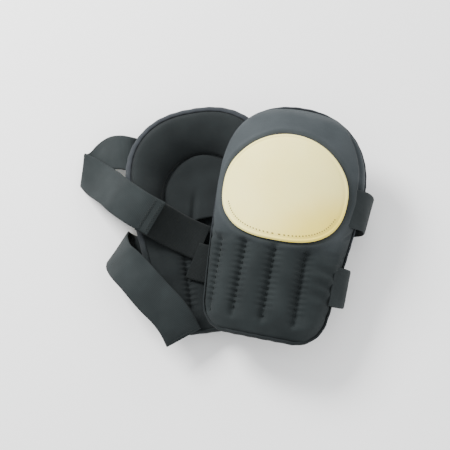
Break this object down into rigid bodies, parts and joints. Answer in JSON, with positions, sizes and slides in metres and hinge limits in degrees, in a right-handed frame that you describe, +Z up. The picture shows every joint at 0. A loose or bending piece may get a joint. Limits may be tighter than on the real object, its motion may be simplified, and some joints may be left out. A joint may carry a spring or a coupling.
{
  "type": "knee pads",
  "caption": "Padded fabric knee pads with hard oval caps, quilted shin panels, padded knee recesses and elastic hook-and-loop straps.",
  "frame": {"origin": "middle of the underside of the laid-down pair", "axes": "+X across the pair, towards the pad that lies cap up; +Y towards the thigh ends; +Z up"},
  "size_m": [0.3074, 0.254, 0.0872],
  "materials": {
    "cap": "satin cream moulded polyethylene",
    "knee_fabric": "bluish grey woven polyester",
    "dark_fabric": "dark grey woven polyester",
    "lining": "soft dark grey lining",
    "foam": "grey soft foam, sealed between the cover and the lining",
    "webbing": "ribbed grey elastic webbing",
    "hook_tape": "grey hook tape"
  },
  "bodies": {
    "rear_pad": {"rear_cap": "cap", "rear_knee_cover": "knee_fabric", "rear_shin_cover": "dark_fabric", "rear_knee_binding": "dark_fabric", "rear_shin_binding": "dark_fabric", "rear_knee_lining": "lining", "rear_shin_lining": "lining", "rear_rim_cover": "lining", "rear_knee_foam": "foam", "rear_rim_foam": "foam", "rear_shin_foam_1": "foam", "rear_shin_foam_2": "foam", "rear_shin_foam_3": "foam", "rear_shin_foam_4": "foam", "rear_shin_foam_5": "foam", "rear_upper_strap_root": "webbing", "rear_lower_strap_root": "webbing"},
    "front_knee": {"front_cap": "cap", "front_knee_cover": "knee_fabric", "front_knee_binding": "dark_fabric", "front_knee_lining": "lining", "front_rim_cover": "lining", "front_knee_foam": "foam", "front_rim_foam": "foam", "front_upper_strap": "webbing"},
    "front_shin": {"front_shin_cover": "dark_fabric", "front_shin_lining": "lining", "front_shin_binding": "dark_fabric", "front_lower_strap": "webbing", "front_lower_hook_tab": "hook_tape", "front_shin_foam_1": "foam", "front_shin_foam_2": "foam", "front_shin_foam_3": "foam", "front_shin_foam_4": "foam", "front_shin_foam_5": "foam"},
    "rear_upper_strap": {"rear_upper_strap_tail": "webbing", "rear_upper_hook_tab": "hook_tape"},
    "rear_lower_strap": {"rear_lower_strap_tail": "webbing"}
  },
  "joints": [
    {"name": "front_pad_lift", "type": "slide", "parent": "rear_pad", "child": "front_knee", "axis": [0, 0, 1], "range_m": [0, 0.13]},
    {"name": "front_shin_flex", "type": "hinge", "parent": "front_knee", "child": "front_shin", "pos_m": [0.05525, -0.03286, 0.07383], "axis": [-0.9781, 0.2079, 0], "range_deg": [0, 20]},
    {"name": "rear_upper_strap_swing", "type": "hinge", "parent": "rear_pad", "child": "rear_upper_strap", "pos_m": [-0.15209, 0.07021, 0.00519], "axis": [-0.0896, -0.996, 0], "range_deg": [0, 130]},
    {"name": "rear_lower_strap_swing", "type": "hinge", "parent": "rear_pad", "child": "rear_lower_strap", "pos_m": [-0.11046, -0.01383, 0.00519], "axis": [-0.5368, -0.8437, 0], "range_deg": [0, 120]}
  ]
}
